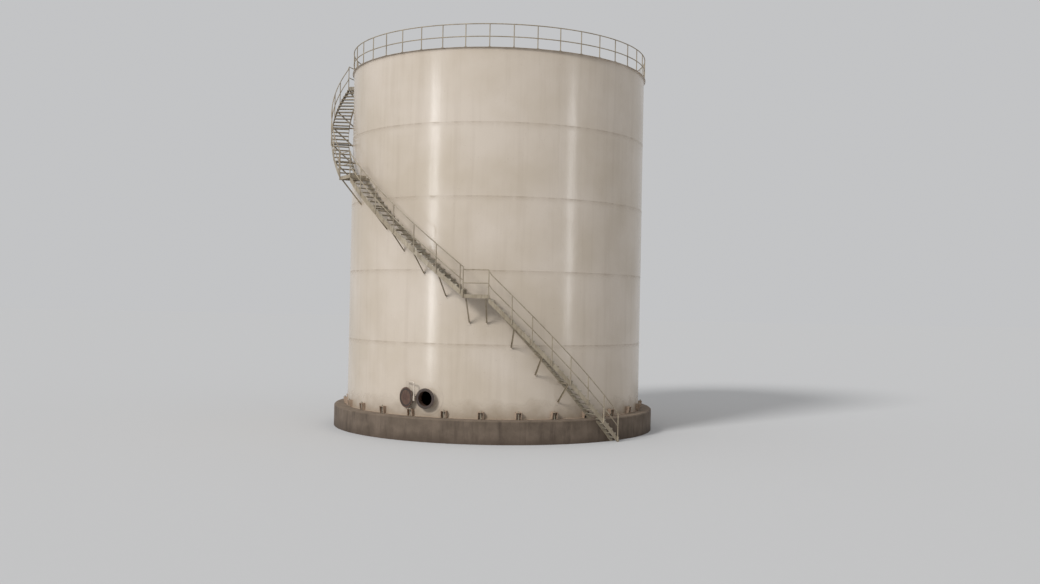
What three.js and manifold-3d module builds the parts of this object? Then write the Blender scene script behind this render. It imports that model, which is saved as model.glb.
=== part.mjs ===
// A vertical cone-roofed storage tank of five steel courses on a round concrete foundation.
// A stair climbs round the wall in three flights to a railed roof, and a manway stands open.
import * as THREE from "three";
import { mergeVertices } from "three/addons/utils/BufferGeometryUtils.js";
import Module from "manifold-3d";

const wasm = await Module();
wasm.setup();

// Driving dimensions, in millimetres and degrees. Levels are heights above the ground. Angles run
// round the tank from the manway, which faces -Y, towards +X.
const seat = 0.3; // clearance between pieces that rest on each other
const facetAngle = 6; // the round wall is made of flats this wide
const facetStart = 3; // and a flat is centred on the manway

const foundationRadius = 7300;
const foundationHeight = 950;
const foundationChamfer = 40;

const shellRadius = 6700;
const shellThickness = 10;
const courseHeight = 3000;
const courseCount = 5;
const platesPerCourse = 4;
const plateAngle = 360 / platesPerCourse;
const plateStagger = 30; // each course's upright joints stand this far on from those below

const bottomThickness = 10;
const bottomRim = 60; // how far the bottom plate shows outside the wall

const chairCount = 28;
const chairHeight = 300;
const chairDepth = 185;
const chairToeDepth = 130;
const chairWidth = 240;
const chairPlate = 20;

const roofSlope = 1 / 6;
const roofThickness = 8;
const roofPlateRadius = 6740;
const curbLeg = 75;
const curbThickness = 8;

const ventPipeRadius = 110;
const ventHeight = 450;
const ventCapRadius = 230;
const ventCapDrop = 120; // from the vent's tip to the cap's lower edge
const ventCapEdge = 60;
const hatchAngle = -70;
const hatchDistance = 5100;
const hatchRadius = 305;
const hatchHeight = 180;
const hatchCoverRadius = 375;
const hatchCoverThickness = 12;

const manwayHeight = 750; // centre above the bottom of the wall
const manwayBore = 305;
const neckThickness = 10;
const neckLength = 250;
const neckInside = 40;
const flangeRadius = 416;
const flangeThickness = 22;
const coverThickness = 16;
const coverClearance = 5;
const collarRadius = 685;
const collarThickness = 8;
const insertSize = 900; // square plate behind the collar, let into the wall to hold the neck

const davitOffset = 490; // from the manway's axis to the davit's
const davitOpen = 204; // how far the cover has been swung open
const davitArmHeight = 680; // above the manway's centre
const davitTube = 24;
const socketRadius = 38;
const socketBore = 26;
const socketLow = -110; // socket ends, from the manway's centre
const socketHigh = 90;
const socketPlate = 12;
const socketPlateInset = 10;
const davitRing = 20; // collar that rests on the socket
const hangerRadius = 10;
const hangerTail = 90; // how far the hanger reaches below the cover's upper edge
const lugSize = 60;
const lugGap = 13; // from the cover to the hanger's axis

const stairInner = 6900; // middle of the inner stringer
const stairOuter = 7660; // middle of the outer stringer
const stringerThickness = 12;
const stringerAbove = 5; // stringer edges, from the line through the treads' middles
const stringerBelow = 230;
const toeThickness = 14; // short stringer on the foundation's side, under the cut treads
const toeDrop = 60; // its top, below the foundation's
const treadDepth = 235;
const treadThickness = 35;
const deckThickness = 40;
const frameDepth = 150;
const deckReach = 6640; // the top landing's deck laps over the roof's edge to here
const barSize = 60; // bracket bars
const braceDrop = 850;
const landingBraceDrop = 1060;
const braceInset = 0.8; // from a landing's end to its brackets
const postLap = 150; // handrail posts start this far below the stringer's line
const endPostAbove = 100; // the post at a landing's far end also carries the next flight's rail

const railSize = 42; // rails and posts, across
const railHeight = 1000;
const midRailHeight = 470;
const roofRailHeight = 950;
const roofMidRailHeight = 440;
const roofRailDistance = 6725;
const roofPostStart = -72.25; // the evenly spaced posts
const roofPostPitch = 8.37;
const roofPostCount = 41;
const baysPerPanel = 9;

const beyond = 300; // how far cutters and trimmed ends run past the faces they meet

const wallBottom = foundationHeight + bottomThickness + 2 * seat;
const wallTop = wallBottom + courseCount * courseHeight;
const roofRim = wallTop + seat;
const manwayLevel = wallBottom + manwayHeight;

// The stair's turning points. Each flight climbs from one level to the next, with its angles
// falling from start to end.
const landings = [
  { from: 21.45, to: 13.85, level: wallBottom + 5000 },
  { from: -30.95, to: -38.95, level: wallBottom + 10000 },
  { from: -83.75, to: -91.75, level: roofRim + 60 },
];
const flights = [
  { from: 66.45, to: landings[0].from, low: 0, high: landings[0].level, risers: 30 },
  { from: landings[0].to, to: landings[1].from, low: landings[0].level, high: landings[1].level, risers: 25 },
  { from: landings[1].to, to: landings[2].from, low: landings[1].level, high: landings[2].level, risers: 26 },
];
const bracketFirst = 7.8; // from a flight's top or foot to its first bracket
const bracketPitch = 8.6;
const bracketCounts = [3, 4, 4];
const postPitch = 4; // treads from one handrail post to the next

const tank = new THREE.Group();

const steelPaint = new THREE.MeshStandardMaterial({ color: 0xcbbfb1, roughness: 0.42, metalness: 0 });
const roofPaint = new THREE.MeshStandardMaterial({ color: 0xc3b8a9, roughness: 0.5, metalness: 0 });
const concrete = new THREE.MeshStandardMaterial({ color: 0x6a5d50, roughness: 0.95, metalness: 0 });
const primer = new THREE.MeshStandardMaterial({ color: 0x6d5146, roughness: 0.7, metalness: 0 });
const stairPaint = new THREE.MeshStandardMaterial({ color: 0xa2967f, roughness: 0.55, metalness: 0.2 });

const radians = THREE.MathUtils.degToRad;
const degreesOf = (length, radius) => THREE.MathUtils.radToDeg(length / radius);

// Geometry to solid and back.
function solid(geometry) {
  const bare = new THREE.BufferGeometry();
  bare.setAttribute("position", geometry.getAttribute("position"));
  bare.setIndex(geometry.getIndex());
  const merged = mergeVertices(bare, 1e-3);
  return new wasm.Manifold(
    new wasm.Mesh({
      numProp: 3,
      vertProperties: merged.getAttribute("position").array,
      triVerts: new Uint32Array(merged.getIndex().array),
    }),
  );
}

function union(solids) {
  return solids.reduce((joined, next) => joined.add(next));
}

function addPiece(name, made, material) {
  const { vertProperties, triVerts } = made.getMesh();
  const geometry = new THREE.BufferGeometry();
  geometry.setAttribute("position", new THREE.BufferAttribute(vertProperties, 3));
  geometry.setIndex(new THREE.BufferAttribute(triVerts, 1));
  geometry.computeVertexNormals();
  const mesh = new THREE.Mesh(geometry, material);
  mesh.name = name;
  tank.add(mesh);
}

// The frame at a point of the wall, in which pieces are drawn with x along the wall, y up and z
// outwards.
function wallFrame(angle, level, radius) {
  const turn = radians(angle);
  const along = new THREE.Vector3(Math.cos(turn), Math.sin(turn), 0);
  const up = new THREE.Vector3(0, 0, 1);
  const out = new THREE.Vector3(Math.sin(turn), -Math.cos(turn), 0);
  const place = out.clone().multiplyScalar(radius).setZ(level);
  return new THREE.Matrix4().makeBasis(along, up, out).setPosition(place);
}

function block(angle, level, radius, width, height, depth) {
  const box = new THREE.BoxGeometry(width, height, depth);
  return solid(box.applyMatrix4(wallFrame(angle, level, radius)));
}

function uprightRod(angle, low, high, radius, rodRadius, sides) {
  const rod = new THREE.CylinderGeometry(rodRadius, rodRadius, high - low, sides);
  return solid(rod.applyMatrix4(wallFrame(angle, (low + high) / 2, radius)));
}

// A square bar in the upright plane through the tank's axis, between two [radius, level] points.
function radialBar(angle, start, end, size) {
  const run = end[0] - start[0];
  const rise = end[1] - start[1];
  const bar = new THREE.BoxGeometry(size, size, Math.hypot(run, rise));
  bar.rotateX(-Math.atan2(rise, run));
  return solid(bar.applyMatrix4(wallFrame(angle, (start[1] + end[1]) / 2, (start[0] + end[0]) / 2)));
}

// Bends a geometry drawn flat, with x in degrees, y up and z the radius, round the tank.
function wrapped(geometry, riseAt = () => 0) {
  const points = geometry.getAttribute("position");
  for (let i = 0; i < points.count; i++) {
    const angle = points.getX(i);
    const radius = points.getZ(i);
    const level = points.getY(i) + riseAt(angle);
    points.setXYZ(i, radius * Math.sin(radians(angle)), -radius * Math.cos(radians(angle)), level);
  }
  return solid(geometry);
}

function band(from, to, low, high, inner, outer, steps, riseAt) {
  const box = new THREE.BoxGeometry(to - from, high - low, outer - inner, steps, 1, 1);
  box.translate((from + to) / 2, (low + high) / 2, (inner + outer) / 2);
  return wrapped(box, riseAt);
}

const railHalf = railSize / 2;

function post(angle, low, high, radius) {
  return block(angle, (low + high) / 2, radius, railSize, high - low, railSize);
}

function rail(from, to, top, radius, steps, riseAt) {
  return band(from, to, top - railSize, top, radius - railHalf, radius + railHalf, steps, riseAt);
}

function radialRail(angle, top, inner, outer) {
  return block(angle, top - railHalf, (inner + outer) / 2, railSize, railSize, outer - inner);
}

// A body of revolution with the wall's flats, from [radius, level] points.
function turned(profile, segments = 360 / facetAngle, start = facetStart) {
  const points = profile.map(([radius, level]) => new THREE.Vector2(radius, level));
  const lathe = new THREE.LatheGeometry(points, segments, radians(start));
  return solid(lathe.rotateX(Math.PI / 2));
}

function disc(radius, low, high, segments, start) {
  return turned([[0, low], [radius, low], [radius, high], [0, high]], segments, start);
}

// Everything that stands against the wall, the foundation or the roof is cut to their flats.
const envelopeRadius = shellRadius + seat;
const wallEnvelope = disc(envelopeRadius, 0, wallTop);
const foundationEnvelope = disc(foundationRadius + seat, -beyond, foundationHeight + seat);
const roofLevelAt = (radius) => roofRim + roofThickness + (roofPlateRadius - radius) * roofSlope;
const roofEdge = shellRadius + curbLeg;
const roofEnvelope = turned([
  [0, wallTop],
  [roofEdge, wallTop],
  [roofEdge, roofLevelAt(roofEdge) + seat],
  [0, roofLevelAt(0) + seat],
]);

function addFoundation() {
  const top = foundationRadius - foundationChamfer;
  const profile = [
    [0, 0],
    [foundationRadius, 0],
    [foundationRadius, foundationHeight - foundationChamfer],
    [top, foundationHeight],
    [0, foundationHeight],
  ];
  addPiece("foundation", turned(profile), concrete);
}

// An anchor chair: two tapered gussets and a top plate over the foundation bolt.
function anchorChair(angle, base) {
  const gusset = new THREE.Shape([
    new THREE.Vector2(0, 0),
    new THREE.Vector2(chairToeDepth, 0),
    new THREE.Vector2(chairDepth, chairHeight - chairPlate),
    new THREE.Vector2(0, chairHeight - chairPlate),
  ]);
  const place = wallFrame(angle, base, envelopeRadius);
  const sides = [-1, 1].map((side) => {
    const plate = new THREE.ExtrudeGeometry(gusset, { depth: chairPlate, bevelEnabled: false });
    plate.translate(0, 0, -chairPlate / 2);
    plate.rotateY(-Math.PI / 2);
    plate.translate((side * (chairWidth - chairPlate)) / 2, 0, 0);
    return solid(plate.applyMatrix4(place));
  });
  const top = block(
    angle,
    base + chairHeight - chairPlate / 2,
    envelopeRadius + chairDepth / 2,
    chairWidth,
    chairPlate,
    chairDepth,
  );
  return union([...sides, top]);
}

function addBottomPlate() {
  const base = foundationHeight + seat;
  const plate = disc(shellRadius + bottomRim, base, base + bottomThickness);
  const pitch = 360 / chairCount;
  const chairs = Array.from({ length: chairCount }, (_, i) => anchorChair((i + 0.5) * pitch, base));
  addPiece("bottom_plate", union([plate, ...chairs]), primer);
}

function manwayCylinder(radius, inner, outer, segments) {
  const cylinder = new THREE.CylinderGeometry(radius, radius, outer - inner, segments);
  cylinder.rotateX(Math.PI / 2);
  return solid(cylinder.applyMatrix4(wallFrame(0, manwayLevel, (inner + outer) / 2)));
}

function manwayHole() {
  return manwayCylinder(manwayBore + neckThickness + seat, shellRadius - beyond, shellRadius + beyond, 32);
}

function insertBlock(size) {
  return block(0, manwayLevel, shellRadius, size, size, 2 * beyond);
}

function addShell() {
  const hole = manwayHole();
  const jointHalf = degreesOf(seat / 2, shellRadius);
  for (let course = 0; course < courseCount; course++) {
    for (let plate = 0; plate < platesPerCourse; plate++) {
      const from = -plateAngle / 2 + plate * plateAngle + course * plateStagger;
      const low = wallBottom + course * courseHeight;
      const made = band(
        from + jointHalf,
        from + plateAngle - jointHalf,
        low,
        low + courseHeight - (course < courseCount - 1 ? seat : 0),
        shellRadius - shellThickness,
        shellRadius,
        plateAngle / facetAngle,
      );
      const name = `shell_course_${course + 1}_plate_${plate + 1}`;
      if (course === 0 && plate === 0) {
        addPiece(name, made.subtract(insertBlock(insertSize)), steelPaint);
        const insert = made.intersect(insertBlock(insertSize - 2 * seat));
        addPiece("shell_manway_insert", insert.subtract(hole), steelPaint);
      } else {
        addPiece(name, made, steelPaint);
      }
    }
  }
}

function addRoof() {
  const inner = shellRadius + seat;
  const curb = turned([
    [inner, wallTop - curbLeg],
    [inner + curbThickness, wallTop - curbLeg],
    [inner + curbThickness, wallTop - curbThickness],
    [roofEdge, wallTop - curbThickness],
    [roofEdge, wallTop],
    [inner, wallTop],
    [inner, wallTop - curbLeg],
  ]);
  addPiece("curb_angle", curb, steelPaint);
  const under = (radius) => roofLevelAt(radius) - roofThickness;
  const roof = turned([
    [0, under(0)],
    [roofPlateRadius, under(roofPlateRadius)],
    [roofPlateRadius, roofLevelAt(roofPlateRadius)],
    [0, roofLevelAt(0)],
  ]);
  addPiece("roof", roof, roofPaint);
}

function addRoofFittings() {
  const apex = roofLevelAt(0);
  const capLow = apex + ventHeight - ventCapDrop;
  const vent = turned(
    [
      [0, apex - beyond],
      [ventPipeRadius, apex - beyond],
      [ventPipeRadius, capLow],
      [ventCapRadius, capLow],
      [ventCapRadius, capLow + ventCapEdge],
      [0, apex + ventHeight],
    ],
    20,
  );
  addPiece("centre_vent", vent.subtract(roofEnvelope), roofPaint);

  const base = roofLevelAt(hatchDistance);
  const hatchTop = base + hatchHeight;
  const rimLow = hatchTop - hatchCoverThickness;
  const neck = uprightRod(hatchAngle, base - hatchHeight, hatchTop, hatchDistance, hatchRadius, 24);
  const rim = uprightRod(hatchAngle, rimLow, hatchTop, hatchDistance, hatchCoverRadius, 24);
  addPiece("roof_hatch_neck", neck.add(rim).subtract(roofEnvelope), roofPaint);
  const coverLow = hatchTop + seat;
  const cover = uprightRod(
    hatchAngle,
    coverLow,
    coverLow + hatchCoverThickness,
    hatchDistance,
    hatchCoverRadius,
    24,
  );
  addPiece("roof_hatch_cover", cover, roofPaint);
}

function addManway() {
  const collar = manwayCylinder(collarRadius, shellRadius - beyond, shellRadius + beyond, 40);
  const skin = disc(shellRadius + collarThickness, wallBottom, wallTop).subtract(wallEnvelope);
  addPiece("manway_collar_plate", collar.intersect(skin).subtract(manwayHole()), steelPaint);

  const face = shellRadius + neckLength;
  const neck = manwayCylinder(manwayBore + neckThickness, shellRadius - neckInside, face, 32);
  const flange = manwayCylinder(flangeRadius, face - flangeThickness, face, 32);
  const bore = manwayCylinder(manwayBore, shellRadius - beyond, face + beyond, 32);
  addPiece("manway_neck", neck.add(flange).subtract(bore), steelPaint);
}

// The davit's axis, in the frame at the middle of the manway.
const coverInner = shellRadius + neckLength + coverClearance;
const davitRadius = coverInner + coverThickness + lugGap;
const manwayFrame = wallFrame(0, manwayLevel, 0);

function inManwayFrame(geometry) {
  return solid(geometry.applyMatrix4(manwayFrame));
}

function addDavitSocket() {
  const height = socketHigh - socketLow;
  const middle = (socketHigh + socketLow) / 2;
  const tube = new THREE.CylinderGeometry(socketRadius, socketRadius, height, 20);
  const bore = new THREE.CylinderGeometry(socketBore, socketBore, height + beyond, 20);
  const plateStart = shellRadius - beyond;
  const plateEnd = davitRadius - (socketBore + socketRadius) / 2;
  const plate = new THREE.BoxGeometry(socketPlate, height - 2 * socketPlateInset, plateEnd - plateStart);
  const socket = inManwayFrame(tube.translate(-davitOffset, middle, davitRadius))
    .add(inManwayFrame(plate.translate(-davitOffset, middle, (plateStart + plateEnd) / 2)))
    .subtract(inManwayFrame(bore.translate(-davitOffset, middle, davitRadius)));
  const growth = collarThickness + seat;
  const cut = disc(shellRadius + growth, 0, wallTop);
  addPiece("davit_socket", socket.subtract(cut), steelPaint);
}

// The davit and its cover are drawn closed over the flange and then swung open.
function addManwayDoor() {
  const hinge = new THREE.Matrix4().makeTranslation(-davitOffset, -davitRadius, 0);
  const back = new THREE.Matrix4().makeTranslation(davitOffset, davitRadius, 0);
  const swing = new THREE.Matrix4().makeRotationZ(-radians(davitOpen));
  const opened = hinge.multiply(swing).multiply(back);
  const swung = (geometry) => solid(geometry.applyMatrix4(manwayFrame).applyMatrix4(opened));

  const armLevel = davitArmHeight - davitTube;
  const hangerLow = flangeRadius - hangerTail;
  const post = new THREE.CylinderGeometry(davitTube, davitTube, davitArmHeight - socketLow, 16);
  const ring = new THREE.CylinderGeometry(socketRadius, socketRadius, davitRing, 20);
  const arm = new THREE.CylinderGeometry(davitTube, davitTube, davitOffset + davitTube, 16);
  const hanger = new THREE.CylinderGeometry(hangerRadius, hangerRadius, armLevel - hangerLow, 10);
  const davit = [
    post.translate(-davitOffset, (davitArmHeight + socketLow) / 2, davitRadius),
    ring.translate(-davitOffset, socketHigh + seat + davitRing / 2, davitRadius),
    arm.rotateZ(Math.PI / 2).translate((davitTube - davitOffset) / 2, armLevel, davitRadius),
    hanger.translate(0, (armLevel + hangerLow) / 2, davitRadius),
  ].map(swung);
  addPiece("davit_arm", union(davit), steelPaint);

  const cover = new THREE.CylinderGeometry(flangeRadius, flangeRadius, coverThickness, 32);
  const lug = new THREE.BoxGeometry(lugSize, lugSize, 2 * lugGap);
  const lugHole = new THREE.CylinderGeometry(hangerRadius + seat, hangerRadius + seat, beyond, 10);
  const lugLevel = flangeRadius - lugSize;
  const made = swung(cover.rotateX(Math.PI / 2).translate(0, 0, coverInner + coverThickness / 2))
    .add(swung(lug.translate(0, lugLevel, davitRadius)))
    .subtract(swung(lugHole.translate(0, lugLevel, davitRadius)));
  addPiece("manway_cover", made, primer);
}

// A knee bracket from the wall to the outer stringer, with its top bar's middle at the level.
function bracket(angle, level, drop) {
  const foot = level - drop;
  return [
    radialBar(angle, [shellRadius - barSize, level], [stairOuter, level], barSize),
    radialBar(angle, [shellRadius - barSize, foot], [stairOuter - barSize / 2, level], barSize),
  ];
}

function flightParts(flight, index) {
  const { from, to, low, high, risers } = flight;
  const treads = risers - 1;
  const rise = (high - low) / risers;
  const pitch = (from - to) / treads;
  const lineAt = (angle) => low + rise * ((from - angle) / pitch + 0.5);
  const fromTop = index === 0;
  const brackets = Array.from({ length: bracketCounts[index] }, (_, i) => {
    const along = bracketFirst + i * bracketPitch;
    return fromTop ? to + along : from - along;
  });
  return { ...flight, treads, rise, pitch, lineAt, brackets };
}

// The lowest treads stop at the foundation's side, and a short stringer carries them there.
function toeStringer(flight) {
  const { from, rise, pitch, lineAt } = flightParts(flight, 0);
  const top = foundationHeight - toeDrop;
  const to = from - ((top + stringerBelow) / rise - 0.5) * pitch;
  const inner = foundationRadius + seat;
  const outer = foundationRadius + toeThickness;
  const stringer = band(to, from, -stringerBelow, stringerAbove, inner, outer, 6, lineAt);
  return stringer.intersect(disc(stairOuter, -beyond, top)).subtract(foundationEnvelope);
}

function addFlight(flight, index) {
  const { from, to, treads, rise, pitch, low, lineAt, brackets } = flightParts(flight, index);
  const gap = degreesOf(seat, stairInner);
  const start = from - (index === 0 ? 0 : gap);
  const end = to + gap;
  const steps = Math.round(treads / 2);
  const parts = [stairInner, stairOuter].map((radius) =>
    band(
      end,
      start,
      -stringerBelow,
      stringerAbove,
      radius - stringerThickness / 2,
      radius + stringerThickness / 2,
      steps,
      lineAt,
    ),
  );
  for (let k = 1; k <= treads; k++) {
    const angle = from - (k - 0.5) * pitch;
    const level = low + k * rise - treadThickness / 2;
    const middle = (stairInner + stairOuter) / 2;
    parts.push(block(angle, level, middle, treadDepth, treadThickness, stairOuter - stairInner));
  }
  for (const angle of brackets) {
    parts.push(...bracket(angle, lineAt(angle) - stringerBelow + barSize / 2, braceDrop));
  }
  let made = union(parts).subtract(wallEnvelope);
  if (index === 0) {
    const aboveGround = disc(stairOuter + beyond, 0, wallTop);
    made = made.subtract(foundationEnvelope).add(toeStringer(flight)).intersect(aboveGround);
  }
  addPiece(`stair_flight_${index + 1}`, made, stairPaint);
}

function addLanding(landing, index) {
  const { from, to, level } = landing;
  const outer = stairOuter + stringerThickness / 2;
  const inner = stairInner - stringerThickness / 2;
  const side = stringerThickness;
  const end = degreesOf(side, stairInner);
  const low = level - frameDepth;
  const topLanding = index === landings.length - 1;
  const parts = [
    band(to, from, level - deckThickness, level, topLanding ? deckReach : inner, outer, 2),
    band(to, from, low, level, outer - side, outer, 2),
    band(to, from, low, level, inner, inner + side, 2),
    band(to, to + end, low, level, inner, outer, 1),
    band(from - end, from, low, level, inner, outer, 1),
  ];
  const armLevel = topLanding ? wallTop - curbLeg - 2 * barSize : low + barSize / 2;
  const uprights = topLanding ? [stairInner, stairOuter - barSize / 2] : [];
  for (const angle of [to + braceInset, from - braceInset]) {
    parts.push(...bracket(angle, armLevel, landingBraceDrop));
    for (const radius of uprights) {
      parts.push(block(angle, (armLevel + level) / 2 - side, radius, barSize, level - armLevel, barSize));
    }
  }
  const made = union(parts).subtract(wallEnvelope).subtract(roofEnvelope);
  addPiece(`stair_landing_${index + 1}`, made, stairPaint);
}

function addHandrail(flight, index) {
  const { from, pitch, treads, lineAt } = flightParts(flight, index);
  const landing = landings[index];
  const radius = stairOuter + stringerThickness / 2 + seat + railHalf;
  const postHalf = degreesOf(railHalf + seat, radius);
  const parts = [];
  for (let k = 1; k < treads - 1; k += postPitch) {
    const angle = from - (k - 0.5) * pitch;
    const low = Math.max(0, lineAt(angle) - postLap);
    parts.push(post(angle, low, lineAt(angle) + railHeight - railHalf, radius));
  }
  const foot = landing.level - frameDepth;
  parts.push(post(landing.from, foot, landing.level + railHeight - railHalf, radius));
  parts.push(post(landing.to, foot, landing.level + railHeight + endPostAbove, radius));
  const flightStart = index === 0 ? from - 0.5 * pitch : from - postHalf;
  const steps = Math.round(treads / 3);
  for (const height of [midRailHeight, railHeight]) {
    parts.push(rail(landing.from, flightStart, height, radius, steps, lineAt));
    parts.push(rail(landing.to, landing.from, landing.level + height, radius, 2));
  }
  if (index === landings.length - 1) {
    const end = roofRailDistance + railHalf + seat;
    for (const height of [midRailHeight, railHeight]) {
      parts.push(radialRail(landing.to, landing.level + height, end, radius));
    }
  }
  addPiece(`stair_handrail_${index + 1}`, union(parts), stairPaint);
}

// The roof railing stands on the rim all the way round, apart from the bay where the stair arrives.
function addRoofRailing() {
  const head = landings[landings.length - 1];
  const clear = degreesOf(railHalf + seat, roofRailDistance);
  const even = Array.from({ length: roofPostCount }, (_, i) => roofPostStart + i * roofPostPitch);
  const posts = [head.from + clear, ...even, head.to + 360 - clear];
  const base = roofLevelAt(roofRailDistance);
  for (let first = 0; first < posts.length - 1; first += baysPerPanel) {
    const next = Math.min(first + baysPerPanel, posts.length - 1);
    const last = next === posts.length - 1;
    const standing = posts.slice(first, last ? next + 1 : next);
    const postTop = base + roofRailHeight - railHalf;
    const parts = standing.map((angle) => post(angle, wallTop, postTop, roofRailDistance));
    const stop = last ? posts[next] : posts[next] - clear;
    for (const height of [roofMidRailHeight, roofRailHeight]) {
      parts.push(rail(posts[first], stop, base + height, roofRailDistance, next - first));
    }
    const made = union(parts).subtract(roofEnvelope);
    addPiece(`roof_railing_${Math.ceil(next / baysPerPanel)}`, made, stairPaint);
  }
}

addFoundation();
addBottomPlate();
addShell();
addRoof();
addRoofFittings();
addManway();
addDavitSocket();
addManwayDoor();
flights.forEach(addFlight);
landings.forEach(addLanding);
flights.forEach(addHandrail);
addRoofRailing();

export default tank;
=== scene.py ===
import math

import bmesh
import bpy
from mathutils import Matrix, Vector


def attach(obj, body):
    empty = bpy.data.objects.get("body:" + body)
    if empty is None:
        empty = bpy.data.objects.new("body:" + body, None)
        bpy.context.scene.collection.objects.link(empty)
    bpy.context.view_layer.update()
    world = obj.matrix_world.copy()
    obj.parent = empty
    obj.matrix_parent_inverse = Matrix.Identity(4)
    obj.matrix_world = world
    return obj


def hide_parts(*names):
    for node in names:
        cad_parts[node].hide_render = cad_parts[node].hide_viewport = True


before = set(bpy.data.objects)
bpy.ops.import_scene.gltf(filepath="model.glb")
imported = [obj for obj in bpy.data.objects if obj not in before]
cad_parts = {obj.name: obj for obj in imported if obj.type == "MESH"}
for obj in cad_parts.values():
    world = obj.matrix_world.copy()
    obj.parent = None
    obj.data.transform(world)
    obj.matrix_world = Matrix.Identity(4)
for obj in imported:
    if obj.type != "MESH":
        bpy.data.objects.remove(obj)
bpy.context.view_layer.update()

# Metres and degrees. Angles run round the tank from the manway, which faces -Y, towards +X.
wall = {
    "radius": 6.700,
    "thickness": 0.010,
    "bottom": 0.9606,
    "top": 15.9606,
    "courseHeight": 3.0,
    "courses": 5,
    "platesPerCourse": 4,
    "firstJoint": -45,
    "stagger": 30,  # from a course's upright joints to those of the next course
    "flats": 240,  # as many as make a ring of this size look round
}


def onWall(angle, radius, level):
    turn = math.radians(angle)
    return Vector((radius * math.sin(turn), -radius * math.cos(turn), level))


def axes(x, y, z):
    return Matrix((x, y, z)).transposed().to_4x4()


def wallFrame(angle, radius, level):
    # x points out of the tank, y round it and z up
    turn = math.radians(angle)
    out = (math.sin(turn), -math.cos(turn), 0)
    along = (math.cos(turn), math.sin(turn), 0)
    return Matrix.Translation(onWall(angle, radius, level)) @ axes(out, along, (0, 0, 1))


def moved(place, x, y, z):
    return place @ Matrix.Translation((x, y, z))


def spread(start, end, steps):
    return [start + (end - start) * i / steps for i in range(steps + 1)]


def onCircle(radius, turn):
    return radius * math.cos(turn), radius * math.sin(turn)


def rectangle(left, right, low, high):
    return [(left, low), (right, low), (right, high), (left, high)]


def joinRings(mesh, rings, looped=False):
    following = rings[1:] + rings[:1] if looped else rings[1:]
    for ring, after in zip(rings, following):
        for i in range(len(ring)):
            j = (i + 1) % len(ring)
            mesh.faces.new((ring[i], ring[j], after[j], after[i]))
    if not looped:
        mesh.faces.new(rings[0])
        mesh.faces.new(rings[-1])


def addSweep(mesh, frames, outline, looped=False):
    rings = [[mesh.verts.new(place @ Vector((x, 0, z))) for x, z in outline] for place in frames]
    joinRings(mesh, rings, looped)


def addCurvedBar(mesh, angles, near, far, low, high):
    # near and far are its distances from the tank's axis
    addSweep(mesh, [wallFrame(angle, 0, 0) for angle in angles], rectangle(near, far, low, high))


def addBox(mesh, place, size):
    x, y, z = (side / 2 for side in size)
    addSweep(mesh, [moved(place, 0, end, 0) for end in (-y, y)], rectangle(-x, x, -z, z))


def addTube(mesh, points, radius, sides=14):
    points = [Vector(point) for point in points]
    turns = [2 * math.pi * k / sides for k in range(sides)]
    rings = []
    side = None
    for before, point, after in zip(points[:1] + points, points, points[1:] + points[-1:]):
        run = (after - before).normalized()
        side = run.orthogonal() if side is None else side
        side = (side - run * side.dot(run)).normalized()
        other = run.cross(side)
        rings.append([mesh.verts.new(point + radius * (math.cos(t) * side + math.sin(t) * other))
                      for t in turns])
    joinRings(mesh, rings)


def addTurned(mesh, outline, steps, place=Matrix()):
    # turns an outline of (radius, height) round the z axis; it closes on itself or on the axis
    poles = {i: mesh.verts.new(place @ Vector((0, 0, z))) for i, (r, z) in enumerate(outline) if r < 1e-6}
    rings = []
    for step in range(steps):
        x, y = onCircle(1, 2 * math.pi * step / steps)
        rings.append([poles[i] if i in poles else mesh.verts.new(place @ Vector((r * x, r * y, z)))
                      for i, (r, z) in enumerate(outline)])
    last = len(outline) - 1
    pairs = [(i, i + 1) for i in range(last)] + ([] if poles else [(last, 0)])
    for ring, after in zip(rings, rings[1:] + rings[:1]):
        for i, j in pairs:
            corners = [ring[i], after[i], after[j], ring[j]]
            corners = [v for k, v in enumerate(corners) if v not in corners[:k]]
            if len(corners) > 2:
                mesh.faces.new(corners)


def addHexHead(mesh, place, radius, height, crown=0.001, sunk=0.0):
    outline = [(0, -sunk), (radius, -sunk), (radius, height), (0, height + crown)]
    addTurned(mesh, outline, 6, place)


def bent(points, bend, steps=5):
    # the same path with round corners
    points = [Vector(point) for point in points]
    path = [points[0]]
    for before, corner, after in zip(points, points[1:], points[2:]):
        back, on = before - corner, after - corner
        reach = min(bend, back.length * 0.45, on.length * 0.45)
        start, end = corner + back.normalized() * reach, corner + on.normalized() * reach
        for share in spread(0, 1, steps):
            path.append(start.lerp(corner, share).lerp(corner.lerp(end, share), share))
    return path + [points[-1]]


# A flat sheet is drawn as faces between points and then given its thickness where it stands.
def newSheet():
    return {"points": [], "index": {}, "faces": []}


def pointIn(sheet, x, y):
    key = (round(x, 5), round(y, 5))
    if key not in sheet["index"]:
        sheet["index"][key] = len(sheet["points"])
        sheet["points"].append((x, y))
    return sheet["index"][key]


def addFacet(sheet, corners):
    sheet["faces"].append([pointIn(sheet, x, y) for x, y in corners])


def addHole(sheet, outline, centre, radius, rings):
    # fills the sheet between a closed outline and a round hole
    loops = []
    for share in spread(0, 1, rings):
        loop = []
        for x, y in outline:
            edge = onCircle(radius, math.atan2(y - centre[1], x - centre[0]))
            loop.append((x + (centre[0] + edge[0] - x) * share, y + (centre[1] + edge[1] - y) * share))
        loops.append(loop)
    for loop, after in zip(loops, loops[1:]):
        for i in range(len(loop)):
            j = (i + 1) % len(loop)
            addFacet(sheet, [loop[i], loop[j], after[j], after[i]])


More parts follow.
